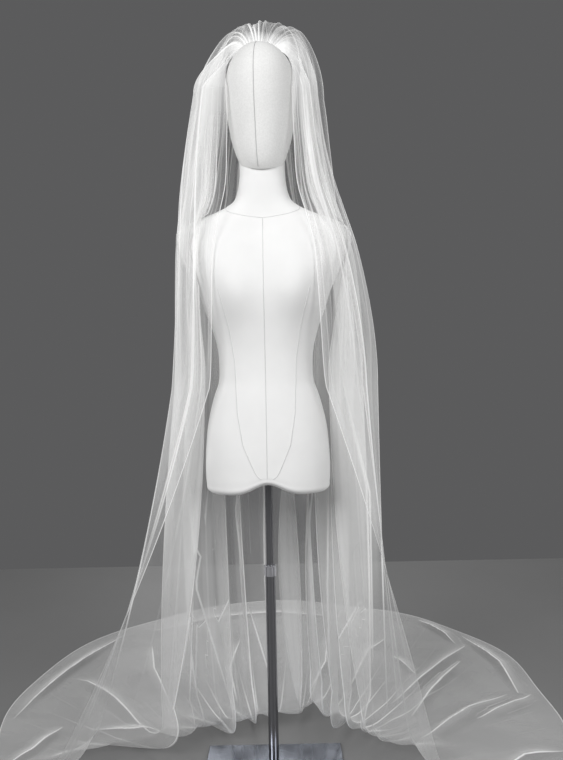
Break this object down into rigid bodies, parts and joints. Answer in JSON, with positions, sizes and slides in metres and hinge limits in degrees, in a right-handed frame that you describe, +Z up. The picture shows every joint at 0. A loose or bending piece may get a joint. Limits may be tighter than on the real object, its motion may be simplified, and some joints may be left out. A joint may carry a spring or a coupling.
{
  "type": "bridal veil on a limbless dress form",
  "caption": "Floor-length veil of soft plain tulle with a round train, gathered on a hair comb and draped over a limbless dress form with a head, on a pole and square plate.",
  "frame": {"origin": "on the floor under the pole's axis, at the middle of the plate's underside", "axes": "+Z up the pole, -Y the way the face looks, +Y towards the train's hem, +X to the right seen from the front"},
  "size_m": [1.6698, 1.4796, 1.9116],
  "materials": {
    "tulle": "sheer soft white net, plain, with a cut edge",
    "jersey": "matt white knitted cover over the torso",
    "linen": "matt off-white woven cover over the head",
    "comb": "clear to white moulded comb",
    "chrome": "polished tube",
    "plate": "polished plate"
  },
  "bodies": {
    "root": {"tulle_crown": "tulle", "tulle_fall_left": "tulle", "tulle_fall_back": "tulle", "tulle_fall_right": "tulle", "tulle_train": "tulle", "comb": "comb", "head": "linen", "torso": "jersey", "pole_upper": "chrome", "collar": "chrome", "pole_lower": "chrome", "flange": "chrome", "base_plate": "plate"}
  },
  "joints": []
}
